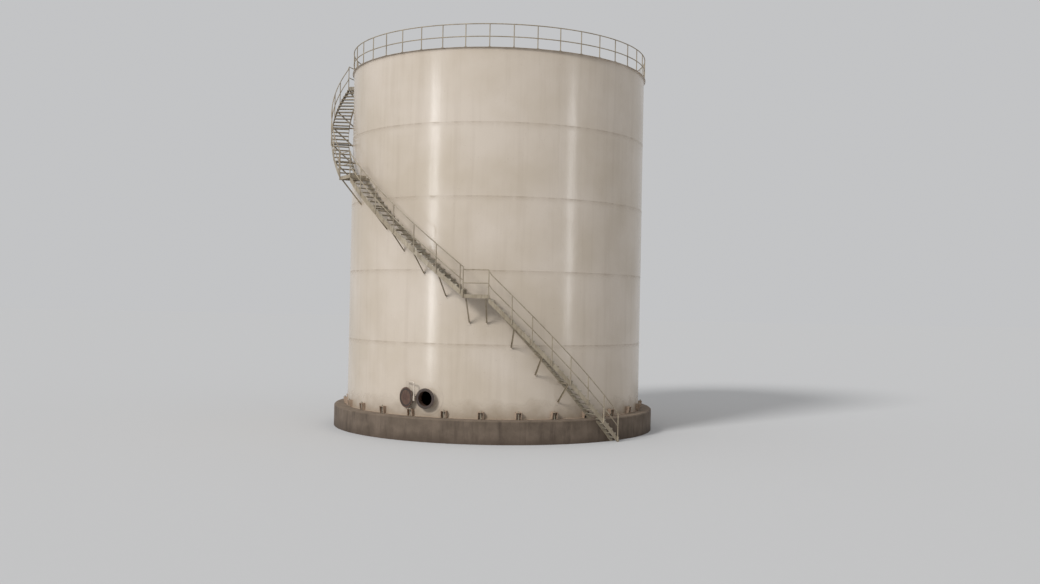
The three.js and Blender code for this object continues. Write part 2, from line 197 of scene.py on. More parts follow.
def addThick(mesh, sheet, place, near, far):
    front, back = ([mesh.verts.new(place(x, y, z)) for x, y in sheet["points"]] for z in (far, near))
    edges = set()
    for face in sheet["faces"]:
        mesh.faces.new([front[i] for i in face])
        mesh.faces.new([back[i] for i in reversed(face)])
        edges.update(zip(face, face[1:] + face[:1]))
    for a, b in edges:
        if (b, a) not in edges:
            mesh.faces.new((front[b], front[a], back[a], back[b]))


def meshData(name, mesh, material):
    data = bpy.data.meshes.new(name)
    mesh.to_mesh(data)
    mesh.free()
    data.materials.append(material)
    return data


def addObject(name, data):
    thing = bpy.data.objects.new(name, data)
    bpy.context.scene.collection.objects.link(thing)
    return thing


def finishPiece(name, mesh, material, slot, *replaced, body="tank", bevel=0.0, crease=35):
    # replaced are the CAD nodes that the piece stands for
    bmesh.ops.recalc_face_normals(mesh, faces=mesh.faces)
    data = meshData(name, mesh, material)
    data.shade_smooth()
    data.set_sharp_from_angle(angle=math.radians(crease))
    piece = addObject(name, data)
    if bevel:
        edge = piece.modifiers.new("Edges", "BEVEL")
        edge.width = bevel
        edge.segments = 1
        edge.limit_method = "ANGLE"
        edge.angle_limit = math.radians(50)
    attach(piece, body)
    if replaced:
        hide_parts(*replaced)


def colourOf(hexValue):
    parts = [int(hexValue[i:i + 2], 16) / 255 for i in (1, 3, 5)]
    return tuple(p / 12.92 if p <= 0.04045 else ((p + 0.055) / 1.055) ** 2.4 for p in parts) + (1.0,)


def setSockets(tree, node, sockets):
    # by name or in the node's own order; another node's output is linked, anything else is set
    pairs = sockets.items() if isinstance(sockets, dict) else enumerate(sockets)
    for name, value in pairs:
        if isinstance(value, bpy.types.NodeSocket):
            tree.links.new(value, node.inputs[name])
        else:
            node.inputs[name].default_value = value


def addNode(tree, kind, sockets, output=0, **settings):
    node = tree.nodes.new("ShaderNode" + kind)
    for name, value in settings.items():
        setattr(node, name, value)
    setSockets(tree, node, sockets)
    return node.outputs[output]


def newFinish(name):
    material = bpy.data.materials.new(name)
    material.use_nodes = True
    tree = material.node_tree
    return material, tree, tree.nodes["Principled BSDF"], addNode(tree, "TexCoord", {}, "Object")


def patchy(tree, place, size, detail, limits, roughness=0.5):
    # patches of a real size: noise that is cut to the range which shows
    grain = {"Scale": 1 / size, "Detail": detail, "Roughness": roughness}
    noise = addNode(tree, "TexNoise", {"Vector": place, **grain}, "Fac")
    return addNode(tree, "MapRange", (noise, *limits))


def rainRuns(tree, place, size):
    # rain draws dirt down in long narrow runs
    wide, long = size
    drawn = addNode(tree, "Mapping", {"Vector": place, "Scale": (1 / wide, 1 / wide, 1 / long)})
    return addNode(tree, "TexNoise", {"Vector": drawn, "Scale": 1.0, "Detail": 5.0, "Roughness": 0.6}, "Fac")


def stained(tree, look, ground, stains):
    # the look's colours over its ground colour, each where its own pattern is bright
    colour = colourOf(look[ground])
    for stain, pattern in stains.items():
        shades = {6: colour, 7: colourOf(look[stain])}
        colour = addNode(tree, "Mix", {0: pattern, **shades}, 2, data_type="RGBA")
    return colour


def wavy(tree, place, look, detail):
    # waves of each width and depth in the look's relief, one on top of the other
    relief = {}
    for width, depth in look["relief"]:
        waves = addNode(tree, "TexNoise", {"Vector": place, "Scale": 1 / width, "Detail": detail}, "Fac")
        relief["Normal"] = addNode(tree, "Bump", {**relief, "Height": waves, "Distance": depth})
    return relief


# In every look, patches, runs, rust and relief are given by their real sizes in metres. A wave is the
# width of a line's ups and downs, and how far they reach.
def paintedSteel(name, look):
    material, tree, shader, place = newFinish(name)
    bleached = patchy(tree, place, look["patch"], 3.0, (0.35, 0.65))
    runs = rainRuns(tree, place, look["runs"])
    soil = addNode(tree, "MapRange", (runs, 0.48, 0.74, 0.0, look["soiling"]))
    height = addNode(tree, "SeparateXYZ", {"Vector": place}, "Z")
    if "seams" in look:
        # dirt lies on the weld beads and thins out downwards
        course = addNode(tree, "Math", (height, wall["bottom"]), operation="SUBTRACT")
        course = addNode(tree, "Math", (course, wall["courseHeight"]), operation="DIVIDE")
        course = addNode(tree, "Math", (course,), operation="FRACT")
        under = addNode(tree, "MapRange", (course, 1 - look["seams"] / wall["courseHeight"], 1.0))
        under = addNode(tree, "Math", (under, 3.0), operation="POWER")
        uneven = addNode(tree, "MapRange", (runs, 0.35, 0.7, 0.1, 0.65))
        under = addNode(tree, "Math", (under, uneven), operation="MULTIPLY")
        soil = addNode(tree, "Math", (soil, under), operation="MAXIMUM")
    if "splash" in look:
        # rain splashes mud up from the base, to an uneven line
        (low, high), (size, reach) = look["splash"], look["splashWave"]
        ragged = addNode(tree, "TexNoise", {"Vector": place, "Scale": 1 / size, "Detail": 5.0}, "Fac")
        ragged = addNode(tree, "Math", (ragged, -reach, height), operation="MULTIPLY_ADD")
        mud = addNode(tree, "MapRange", (ragged, low - reach / 2, high - reach / 2, 0.7, 0.0))
        soil = addNode(tree, "Math", (soil, mud), operation="MAXIMUM")

    # rust breaks through in small spots that keep together
    size = look["rustSize"]
    spots = patchy(tree, place, size, 4.0, (0.62, 0.72), roughness=0.65)
    areas = patchy(tree, place, size * 9, 3.0, (0.5, 0.62, 0.0, look["rusting"]))
    spots = addNode(tree, "Math", (spots, areas), operation="MULTIPLY")

    colour = stained(tree, look, "paint", {"faded": bleached, "dirt": soil, "rust": spots})
    dull = addNode(tree, "Math", (soil, spots), operation="MAXIMUM")
    dull = addNode(tree, "MapRange", (dull, 0.0, 0.8, *look["roughness"]))
    relief = wavy(tree, place, look, 2.0)
    setSockets(tree, shader, {**relief, "Base Color": colour, "Roughness": dull, "IOR": 1.5})
    return material


# Polyurethane topcoat sprayed over rolled plate: glossy cream, with soft waves in the plate under it that
# bend the reflections, dirt along the weld seams and mud at the foot.
shellTopcoat = paintedSteel("SprayedPolyurethaneTopcoat", {
    "paint": "#cbbfb1", "faded": "#c0b3a2", "patch": 2.6,
    "dirt": "#8a7862", "runs": (0.30, 6.0), "soiling": 0.14,
    "seams": 0.42, "splash": (0.95, 1.75), "splashWave": (0.5, 0.9),
    "rust": "#6a4023", "rustSize": 0.05, "rusting": 0.5,
    "roughness": (0.2, 0.55), "relief": ((1.3, 0.010), (0.28, 0.0012)),
})

# The same topcoat on the roof, chalked by the sun: nearly matt, with dust lying in patches.
roofTopcoat = paintedSteel("ChalkedPolyurethaneTopcoat", {
    "paint": "#c3b8a9", "faded": "#b5a998", "patch": 1.4,
    "dirt": "#8d7c66", "runs": (1.6, 1.6), "soiling": 0.3,
    "rust": "#6a4023", "rustSize": 0.06, "rusting": 0.8,
    "roughness": (0.45, 0.8), "relief": ((0.9, 0.006), (0.12, 0.0008)),
})

# Red-oxide primer, sprayed thin: matt, weathered to a dusty brown, with mill scale showing through.
primerLook = {
    "paint": "#563c31", "faded": "#473228", "patch": 0.25,
    "dirt": "#7a6551", "runs": (0.06, 0.16), "soiling": 0.55,
    "rust": "#4a2a18", "rustSize": 0.015, "rusting": 0.9,
    "roughness": (0.62, 0.9), "relief": ((0.02, 0.0006), (0.006, 0.0003)),
}
oxidePrimer = paintedSteel("RedOxidePrimer", primerLook)

# The flange's joint face: the same primer, darkened nearly to black-brown as painted shadow of the open
# cover.
shadeDarkenedPrimer = paintedSteel("ShadeDarkenedRedOxidePrimer", {
    **primerLook, "paint": "#3d2c24", "faded": "#31241d",
    "dirt": "#4d3d30", "soiling": 0.45, "roughness": (0.55, 0.85),
})

# The same primer near the ground: pale with cement dust.
dustyPrimer = paintedSteel("DustyRedOxidePrimer", {
    **primerLook, "paint": "#ae9885", "faded": "#937d6a", "dirt": "#b5a48f", "soiling": 0.9,
})

# Alkyd enamel brushed on rolled sections: a greyed cream with a low sheen, worn and rusting at small chips.
stairEnamel = paintedSteel("BrushedAlkydEnamel", {
    "paint": "#a69a85", "faded": "#8f836f", "patch": 0.5,
    "dirt": "#6c5b48", "runs": (0.07, 0.35), "soiling": 0.65,
    "rust": "#5d3820", "rustSize": 0.018, "rusting": 0.8,
    "roughness": (0.42, 0.8), "relief": ((0.03, 0.0005), (0.008, 0.0002)),
})

zincLook = {
    "light": "#aaa493", "dark": "#8c877c", "spangle": 0.012,
    "grime": "#7c6a55", "grimePatch": 0.12, "roughness": (0.45, 0.85),
}


def hotDipZinc(look):
    # Hot-dip galvanised steel: a dulled grey with spangles about 12 mm across, dirty where boots drag.
    material, tree, shader, place = newFinish("HotDipGalvanisedSteel")
    spangles = addNode(tree, "TexVoronoi", {"Vector": place, "Scale": 1 / look["spangle"]}, "Color")
    spangles = addNode(tree, "SeparateColor", {"Color": spangles})
    spangles = addNode(tree, "MapRange", (spangles, 0.0, 1.0, 0.0, 0.5))
    grime = patchy(tree, place, look["grimePatch"], 4.0, (0.45, 0.7, 0.1, 0.75))
    colour = stained(tree, look, "light", {"dark": spangles, "grime": grime})
    dull = addNode(tree, "MapRange", (grime, 0.0, 1.0, *look["roughness"]))
    setSockets(tree, shader, {"Base Color": colour, "Roughness": dull, "Metallic": 0.4})
    return material


concreteLook = {
    "pale": "#6e6053", "dark": "#564a3e", "cloud": 0.9,
    "wet": "#3b3028", "runs": (0.25, 1.6),
    "damp": "#44372c", "dampLine": (0.0, 0.45), "dampWave": (0.35, 0.5),
    "dust": "#827261", "dustPatch": 0.3,
    # the air holes' colour is painted shade inside the pits
    "hole": "#372d25", "holeSpacing": 0.05, "holeArea": 0.2, "holeDepth": 0.006,
    "relief": ((0.35, 0.004), (0.03, 0.0012)),
}


def castConcrete(look):
    # Concrete cast against shutters: matt grey-brown with cloudy laitance, wet runs down the side, a damp
    # foot, air holes about 10 mm across, painted dark as the shade inside them, and dust on the ledge.
    material, tree, shader, place = newFinish("CastConcrete")
    clouds = patchy(tree, place, look["cloud"], 6.0, (0.35, 0.68), roughness=0.6)
    runs = rainRuns(tree, place, look["runs"])
    runs = addNode(tree, "MapRange", (runs, 0.5, 0.72, 0.0, 0.55))

    height = addNode(tree, "SeparateXYZ", {"Vector": place}, "Z")
    (low, high), (size, reach) = look["dampLine"], look["dampWave"]
    damp = addNode(tree, "TexNoise", {"Vector": place, "Scale": 1 / size, "Detail": 4.0}, "Fac")
    damp = addNode(tree, "Math", (damp, -reach, height), operation="MULTIPLY_ADD")
    damp = addNode(tree, "MapRange", (damp, low - reach / 2, high - reach / 2, 0.7, 0.0))

    facing = addNode(tree, "NewGeometry", {}, "Normal")
    facing = addNode(tree, "SeparateXYZ", {"Vector": facing}, "Z")
    ledge = addNode(tree, "MapRange", (facing, 0.6, 0.95))
    dust = patchy(tree, place, look["dustPatch"], 5.0, (0.3, 0.6, 0.35, 0.9))
    dust = addNode(tree, "Math", (ledge, dust), operation="MULTIPLY")
    colour = stained(tree, look, "pale", {"dark": clouds, "wet": runs, "damp": damp, "dust": dust})

    # air holes: sunk by the bump below and painted dark as the shade inside them
    holes = addNode(tree, "TexVoronoi", {"Vector": place, "Scale": 1 / look["holeSpacing"]}, "Distance")
    holes = addNode(tree, "MapRange", (holes, 0.05, 0.16))
    sparse = patchy(tree, place, look["holeArea"], 3.0, (0.5, 0.56, 1.0, 0.0))
    holes = addNode(tree, "Math", (holes, sparse), operation="MAXIMUM")
    shades = {6: colourOf(look["hole"]), 7: colour}
    colour = addNode(tree, "Mix", {0: holes, **shades}, 2, data_type="RGBA")
    pits = {"Height": holes, "Distance": look["holeDepth"], "Strength": 0.8}
    relief = addNode(tree, "Bump", {**wavy(tree, place, look, 3.0), **pits})
    setSockets(tree, shader, {"Base Color": colour, "Roughness": 0.93, "Normal": relief})
    return material


fibreLook = {"light": "#3d3a36", "dark": "#27251f", "fibre": 0.006}


def pressedFibre(look):
    # Compressed-fibre sheet: dark, matt and finely mottled.
    material, tree, shader, place = newFinish("CompressedFibreGasket")
    mottle = addNode(tree, "TexNoise", {"Vector": place, "Scale": 1 / look["fibre"], "Detail": 4.0}, "Fac")
    colour = stained(tree, look, "light", {"dark": mottle})
    setSockets(tree, shader, {"Base Color": colour, "Roughness": 0.85})
    return material


zincSteel = hotDipZinc(zincLook)
concrete = castConcrete(concreteLook)
gasketFibre = pressedFibre(fibreLook)
print("finishes made")


base = {
    "radius": 7.289,
    "height": 0.950,
    "chamfer": 0.040,
    "ledge": 6.200,  # inner edge of its top, out of sight below the bottom plate
    "panels": 24,  # shutter panels round the side
    "firstPanel": 4,
    "panelFlats": 8,
    "groove": 0.005,  # how deep the joints between the panels are
    "grooveWidth": 0.10,
    "margin": 1.4,  # from a joint to the first flat of a panel
}


def makeBase():
    mesh = bmesh.new()
    panel = 360 / base["panels"]
    angles = []
    for i in range(base["panels"]):
        start = i * panel + base["firstPanel"]
        end = start + panel
        flats = spread(start + base["margin"], end - base["margin"], base["panelFlats"])
        level = [start + base["grooveWidth"], *flats, end - base["grooveWidth"]]
        angles += [(start, base["groove"])] + [(angle, 0.0) for angle in level]
    radius, top, chamfer = base["radius"], base["height"], base["chamfer"]
    rings = []
    for angle, sunk in angles:
        outline = [(radius - sunk, 0.0), (radius - sunk, top - chamfer),
                   (radius - chamfer, top), (base["ledge"], top)]
        rings.append([mesh.verts.new(onWall(angle, r, z)) for r, z in outline])
    for ring, after in zip(rings, rings[1:] + rings[:1]):
        for i in range(3):
            mesh.faces.new((ring[i], ring[i + 1], after[i + 1], after[i]))
    mesh.faces.new([ring[3] for ring in rings])
    mesh.faces.new([ring[0] for ring in rings])
    finishPiece("castBase", mesh, concrete, "concrete", "foundation")


makeBase()
print("base made")


manway = {
    "level": wall["bottom"] + 0.75,
    "bore": 0.305,
    "neckOuter": 0.315,
    "boreShadeLining": 0.002,  # how thick the primed bore is drawn; its dark primer also paints the shade inside the hole
    "inside": 6.660,
    "face": 6.950,
    "flange": 0.416,
    "flangeThickness": 0.022,
    "boltCircle": 0.384,
    "boltHole": 0.0115,
    "bolts": 28,
    "collar": 0.685,
    "collarThickness": 0.008,
    "collarFlats": 64,
    "field": 9,  # width of the square of wall that is drawn round the hole
    "cover": 0.016,
    "clearance": 0.005,
    "gasket": (0.312, 0.358),
    "flats": 112,
}


def squareOutline(centre, half, steps):
    x, y = centre
    marks = spread(-half, half, steps)[:-1]
    side = [(x + m, y - half) for m in marks] + [(x + half, y + m) for m in marks]
    return side + [(x - m, y + half) for m in marks] + [(x - half, y - m) for m in marks]


def onPlate(x, level, radius):
    # x is measured along the wall from the manway
    return onWall(math.degrees(x / wall["radius"]), radius, level)


def addManwayPlate(mesh, span, low, high):
    # one plate of the wall, with the hole for the manway's neck
    half = math.radians(manway["field"] / 2) * wall["radius"]
    reach = math.radians(span / 2) * wall["radius"]
    centre = (0, manway["level"])
    columns = spread(-reach, -half, 26) + spread(-half, half, 6)[1:] + spread(half, reach, 26)[1:]
    rows = [low] + spread(manway["level"] - half, manway["level"] + half, 6) + [high]
    sheet = newSheet()
    for x, nextX in zip(columns, columns[1:]):
        for row, nextRow in zip(rows, rows[1:]):
            if max(abs(x + nextX) / 2, abs((row + nextRow) / 2 - manway["level"])) > half:
                addFacet(sheet, rectangle(x, nextX, row, nextRow))
    addHole(sheet, squareOutline(centre, half, 6), centre, manway["neckOuter"], 3)
    addThick(mesh, sheet, onPlate, wall["radius"] - wall["thickness"], wall["radius"])


def courseLevel(course):
    return wall["bottom"] + course * wall["courseHeight"]


def jointAngle(course, plate):
    return wall["firstJoint"] + plate * 360 / wall["platesPerCourse"] + course * wall["stagger"]


def makeWall():
    radius = wall["radius"]
    for course in range(wall["courses"]):
        low, high = courseLevel(course), courseLevel(course + 1)
        for plate in range(wall["platesPerCourse"]):
            mesh = bmesh.new()
            nodes = [f"shell_course_{course + 1}_plate_{plate + 1}"]
            start, end = jointAngle(course, plate), jointAngle(course, plate + 1)
            if course == 0 and plate == 0:
                addManwayPlate(mesh, end - start, low, high)
                nodes.append("shell_manway_insert")
            else:
                addCurvedBar(mesh, spread(start, end, 60), radius - wall["thickness"], radius, low, high)
            name = f"wallPlate_{course + 1}_{plate + 1}"
            finishPiece(name, mesh, shellTopcoat, "shell_paint", *nodes)


seam = {"width": 0.018, "height": 0.003, "root": -0.002, "fillet": 0.010}


def makeSeams():
    mesh = bmesh.new()
    root, height, width, radius = seam["root"], seam["height"], seam["width"], wall["radius"]
    bead = [(root, -width / 2), (height * 0.7, -width / 4), (height, 0),
            (height * 0.7, width / 4), (root, width / 2)]
    upright = Matrix.Rotation(math.radians(90), 4, "X")  # turns the bead's outline on its side
    angles = [i * 360 / wall["flats"] for i in range(wall["flats"])]
    for course in range(wall["courses"]):
        ends = courseLevel(course), courseLevel(course + 1)
        if course:
            addSweep(mesh, [wallFrame(angle, radius, ends[0]) for angle in angles], bead, looped=True)
        for plate in range(wall["platesPerCourse"]):
            angle = jointAngle(course, plate)
            addSweep(mesh, [wallFrame(angle, radius, level) @ upright for level in ends], bead)
    # fillet between the wall and the bottom plate
    foot = [wallFrame(angle, radius, wall["bottom"]) for angle in angles]
    fillet = [(root, -0.001), (seam["fillet"], -0.001), (0.004, 0.004), (root, seam["fillet"])]
    addSweep(mesh, foot, fillet, looped=True)
    finishPiece("weldSeams", mesh, shellTopcoat, "shell_paint")


makeWall()
makeSeams()
print("wall made")


bottom = {"level": 0.9503, "radius": 6.760, "thickness": 0.010}
chairs = {
    "count": 28,
    "height": 0.300,
    "depth": 0.185,
    "toe": 0.130,
    "width": 0.240,
    "plate": 0.020,
    "let": 0.004,  # how far the chairs reach into the wall
    "boltRadius": 0.018,
    "boltOut": 0.112,
    "boltAbove": 0.062,
    "washer": 0.078,
    "washerThickness": 0.010,
    "nut": 0.031,
    "nutHeight": 0.029,
    "nutTurn": 0.37,  # radians from one nut to the next, so that no two stand alike
}


def makeBottom():
    level = bottom["level"]
    mesh = bmesh.new()
    addTurned(mesh, rectangle(0, bottom["radius"], level, level + bottom["thickness"]), wall["flats"])
    finishPiece("bottomPlate", mesh, dustyPrimer, "primer", "bottom_plate", bevel=0.002)

    mesh, bolts = bmesh.new(), bmesh.new()
    top, plate, let = chairs["height"], chairs["plate"], chairs["let"]
    rod, tip = chairs["boltRadius"], top + chairs["boltAbove"]
    nut, high = chairs["nut"], chairs["nutHeight"]
    cheek = [(-let, 0.011), (chairs["toe"], 0.011),
             (chairs["depth"] - 0.006, top - plate), (-let, top - plate)]
    for i in range(chairs["count"]):
        place = wallFrame((i + 0.5) * 360 / chairs["count"], wall["radius"], level)
        for side in (-1, 1):
            middle = side * (chairs["width"] - plate) / 2
            addSweep(mesh, [moved(place, 0, middle + t, 0) for t in (-plate / 2, plate / 2)], cheek)
        lid = moved(place, (chairs["depth"] - let) / 2, 0, top - plate / 2)
        addBox(mesh, lid, (chairs["depth"] + let, chairs["width"], plate))
        bolt = moved(place, chairs["boltOut"], 0, 0)
        addTurned(bolts, [(0, 0), (rod, 0), (rod, tip - 0.003), (rod - 0.003, tip), (0, tip)], 14, bolt)
        washer = moved(bolt, 0, 0, top + chairs["washerThickness"] / 2)
        addBox(bolts, washer, (chairs["washer"], chairs["washer"], chairs["washerThickness"]))
        turned = Matrix.Rotation(chairs["nutTurn"] * i, 4, "Z")
        seat = moved(washer, 0, 0, chairs["washerThickness"] / 2) @ turned
        addTurned(bolts, [(0, 0), (nut, 0), (nut, high - 0.003), (nut - 0.004, high), (0, high)], 6, seat)
    finishPiece("anchorChairs", mesh, dustyPrimer, "primer", bevel=0.0025)
    finishPiece("anchorBolts", bolts, zincSteel, "primer", crease=30)


makeBottom()
print("bottom made")


roof = {
    "slope": 1 / 6,
    "thickness": 0.008,
    "radius": 6.740,
    "rim": wall["top"] + 0.0003,
    "curbLeg": 0.075,
    "curbThickness": 0.008,
    "plateWidth": 1.8,
    "plateLength": 4.05,
    "lap": 0.012,
    "lapHeight": 0.006,
    "edge": 0.03,  # how far inside the roof's edge the laps end
}


def roofLevel(radius):
    return roof["rim"] + roof["thickness"] + (roof["radius"] - radius) * roof["slope"]


def addRoofLap(mesh, start, end):
    run = (end - start).normalized()
    turned = axes((-run.y, run.x, 0), run.to_3d(), (0, 0, 1))
    frames = []
    for share in spread(0, 1, max(2, round((end - start).length / 0.35))):
        point = start.lerp(end, share)
        frames.append(Matrix.Translation((point.x, point.y, roofLevel(point.length))) @ turned)
    wide, tall = roof["lap"], roof["lapHeight"]
    addSweep(mesh, frames, [(-wide, -0.004), (wide, -0.004), (wide * 0.3, tall * 0.8),
                            (0, tall), (-wide * 0.3, tall)])


def makeRoof():
    mesh = bmesh.new()
    top, leg, thick = wall["top"], roof["curbLeg"], roof["curbThickness"]
    inner, outer, edge = wall["radius"] - 0.001, wall["radius"] + thick, wall["radius"] + leg
    outline = [(inner, top - leg), (outer, top - leg), (outer, top - thick - 0.006),
               (outer + 0.006, top - thick), (edge, top - thick), (edge, top), (inner, top)]
    addTurned(mesh, outline, wall["flats"])
    finishPiece("curbAngle", mesh, shellTopcoat, "shell_paint", "curb_angle", bevel=0.0015, crease=40)

    mesh = bmesh.new()
    radii = spread(0, roof["radius"], 10)
    over = [(r, roofLevel(r)) for r in radii]
    under = [(r, roofLevel(r) - roof["thickness"]) for r in reversed(radii)]
    addTurned(mesh, over + under, wall["flats"])
    finishPiece("roofCone", mesh, roofTopcoat, "roof_paint", "roof")

    # plates lie in strips, and their end laps are staggered from strip to strip
    mesh = bmesh.new()
    strips = int(roof["radius"] // roof["plateWidth"]) + 1
    for row, y in enumerate([(i + 0.5) * roof["plateWidth"] for i in range(-strips, strips)]):
        if abs(y) < roof["radius"] - 0.2:
            reach = math.sqrt(roof["radius"] ** 2 - y ** 2) - roof["edge"]
            addRoofLap(mesh, Vector((-reach, y)), Vector((reach, y)))
        for i in range(-2, 3):
            x = (i + (0.5 if row % 2 else 0.0)) * roof["plateLength"]
            reach = math.sqrt(max(0.0, roof["radius"] ** 2 - x ** 2)) - roof["edge"]
            near, far = max(y, -reach), min(y + roof["plateWidth"], reach)
            if far - near > 0.3 and abs(x) < roof["radius"]:
                addRoofLap(mesh, Vector((x, near)), Vector((x, far)))
    finishPiece("roofLaps", mesh, roofTopcoat, "roof_paint")


vent = {
    "pipe": 0.110,
    "height": 0.450,
    "flange": 0.090,  # beyond the pipe
    "ledge": 0.045,
    "cap": 0.230,
    "capDrop": 0.120,
    "screen": 0.020,
    "wire": 0.0012,
    "wires": 48,
}


def makeVent():
    apex = roofLevel(0)
    low = apex + vent["height"] - vent["capDrop"]
    pipe, cap = vent["pipe"], vent["cap"]
    flange, ledge = pipe + vent["flange"], pipe + vent["ledge"]
    mesh = bmesh.new()
    addTurned(mesh, [(pipe - 0.006, apex - 0.03), (flange, apex - 0.025), (flange, apex - 0.005),
                     (pipe + 0.004, apex + 0.008), (pipe, apex + 0.014), (pipe, low - 0.05),
                     (ledge, low - 0.05), (ledge, low - 0.036), (pipe - 0.006, low - 0.036)], 48)
    for i in range(4):
        addBox(mesh, wallFrame(i * 90 + 45, pipe + 0.036, low + 0.0095), (0.006, 0.030, 0.095))
    addTurned(mesh, [(0, low + 0.116), (0.02, low + 0.114), (cap - 0.004, low + 0.060), (cap, low + 0.055),
                     (cap, low + 0.002), (cap - 0.004, low), (cap - 0.006, low + 0.004),
                     (cap - 0.006, low + 0.050), (0, low + 0.108)], 64)
    finishPiece("ventHood", mesh, roofTopcoat, "roof_paint", "centre_vent")

    mesh = bmesh.new()
    screen = pipe + vent["screen"]
    for i in range(vent["wires"]):
        turn = i * 360 / vent["wires"]
        ends = [onWall(turn, screen, level) for level in (low - 0.036, low + 0.06)]
        addTube(mesh, ends, vent["wire"], 4)
    for level in spread(low - 0.02, low + 0.05, 6):
        addTube(mesh, [onWall(turn, screen, level) for turn in range(0, 361, 15)], vent["wire"], 4)
    finishPiece("ventScreen", mesh, zincSteel, "roof_paint")


hatch = {
    "angle": -70,
    "distance": 5.100,
    "radius": 0.305,
    "wall": 0.008,
    "height": 0.180,
    "cover": 0.375,
    "thickness": 0.012,
    "boltCircle": 0.340,
    "bolts": 20,
}


def makeHatch():
    place = wallFrame(hatch["angle"], hatch["distance"], roofLevel(hatch["distance"]))
    radius, top, cover, thick = (hatch[key] for key in ("radius", "height", "cover", "thickness"))
    mesh = bmesh.new()
    addTurned(mesh, [(radius - hatch["wall"], -0.045), (radius, -0.045), (radius, top - 0.012),
                     (cover, top - 0.012), (cover, top), (radius - hatch["wall"], top)], 72, place)
    finishPiece("hatchNeck", mesh, roofTopcoat, "roof_paint", "roof_hatch_neck", bevel=0.0015)

    mesh = bmesh.new()
    lid = moved(place, 0, 0, top + 0.0003)
    addTurned(mesh, rectangle(0, cover, 0, thick), 72, lid)
    for i in range(hatch["bolts"]):
        x, y = onCircle(hatch["boltCircle"], 2 * math.pi * (i + 0.5) / hatch["bolts"])
        addHexHead(mesh, moved(lid, x, y, thick), 0.015, 0.011, crown=0.002)
    for y in (-0.13, 0.13):
        handle = [(-0.07, y, thick), (-0.07, y, 0.06), (0.07, y, 0.06), (0.07, y, thick)]
        addTube(mesh, bent([lid @ Vector(point) for point in handle], 0.025), 0.008, 8)
    finishPiece("hatchCover", mesh, roofTopcoat, "roof_paint", "roof_hatch_cover", bevel=0.001)


makeRoof()
makeVent()
makeHatch()
print("roof made")


# x along the wall, y up from the manway's middle and z out along its axis
manwayFrame = Matrix(((1, 0, 0, 0), (0, 0, -1, 0), (0, 1, 0, manway["level"]), (0, 0, 0, 1)))


def inManway(x, y, z):
    return manwayFrame @ Vector((x, y, z))


def drilledDisc(inner, outer):
    # a ring, or a disc where inner is 0, with the flange's bolt holes
    sheet = newSheet()
    step = 2 * math.pi / manway["bolts"]
    middle = 2 * manway["boltCircle"] - outer
    for i in range(manway["bolts"]):
        turns = spread((i - 0.5) * step, (i + 0.5) * step, 4)
        reach = spread(middle, outer, 4)
        outline = [onCircle(middle, t) for t in turns[:-1]] + [onCircle(r, turns[-1]) for r in reach[:-1]]
        outline += [onCircle(outer, t) for t in reversed(turns[1:])]
        outline += [onCircle(r, turns[0]) for r in reversed(reach[1:])]
        addHole(sheet, outline, onCircle(manway["boltCircle"], i * step), manway["boltHole"], 1)
        for t, after in zip(turns, turns[1:]):
            near = [onCircle(inner, after), onCircle(inner, t)] if inner else [(0, 0)]
            addFacet(sheet, [onCircle(middle, t), onCircle(middle, after)] + near)
    return sheet


def makeManway():
    face, inside, outer = manway["face"], manway["inside"], manway["neckOuter"]
    back = face - manway["flangeThickness"]
    inner = manway["bore"] + manway["boreShadeLining"]
    mesh = bmesh.new()
    neck = [(inner, inside), (outer, inside), (outer, back - 0.008), (outer + 0.008, back), (inner, back)]
    # fillet where the neck passes through the collar
    radius = wall["radius"]
    weld = [(outer - 0.001, radius), (outer + 0.012, radius + 0.006), (outer - 0.001, radius + 0.022)]
    for outline in (neck, weld):
        addTurned(mesh, outline, manway["flats"], manwayFrame)
    finishPiece("manwayNeck", mesh, shellTopcoat, "shell_paint", "manway_neck", bevel=0.001)

    # the bore and the flange are drawn in primer; the bore's dark lining also paints the shade inside the
    # hole, and the flange's near-black primer is partly painted shadow of the open cover
    mesh = bmesh.new()
    boreShadeLining = rectangle(manway["bore"], inner + 0.001, inside, back + 0.001)
    addTurned(mesh, boreShadeLining, manway["flats"], manwayFrame)
    finishPiece("manwayBore", mesh, oxidePrimer, "primer")
    # the flange's near-black primer is partly painted shadow of the open cover
    mesh = bmesh.new()
    addThick(mesh, drilledDisc(manway["bore"], manway["flange"]), inManway, back, face)
    finishPiece("manwayFlange", mesh, shadeDarkenedPrimer, "primer", bevel=0.001)

    mesh = bmesh.new()
    sheet, level = newSheet(), manway["level"]
    rim = [onCircle(manway["collar"], turn) for turn in spread(0, 2 * math.pi, manway["collarFlats"])[:-1]]
    addHole(sheet, [(x, level + y) for x, y in rim], (0, level), outer, 6)
    addThick(mesh, sheet, onPlate, radius - 0.001, radius + manway["collarThickness"])
    finishPiece("manwayCollar", mesh, shellTopcoat, "shell_paint", "manway_collar_plate", bevel=0.002)


davit = {
    "offset": 0.490,
    "opened": 204,
    "armHeight": 0.680,
    "tube": 0.024,
    "socket": 0.038,
    "socketBore": 0.026,
    "low": -0.110,
    "high": 0.090,
    "out": 6.984,
    "bend": 0.11,
    "rod": 0.010,
    "lugDrop": 0.060,  # from the cover's edge to the eye that the rod holds
    "grip": 0.20,
}
hinge = Vector((-davit["offset"], -davit["out"], 0))
turnedOpen = Matrix.Rotation(-math.radians(davit["opened"]), 4, "Z")
swing = Matrix.Translation(hinge) @ turnedOpen @ Matrix.Translation(-hinge)
post = Matrix.Translation(hinge + Vector((0, 0, manway["level"])))


def onCover(x, y, z):
    return swing @ inManway(x, y, z)


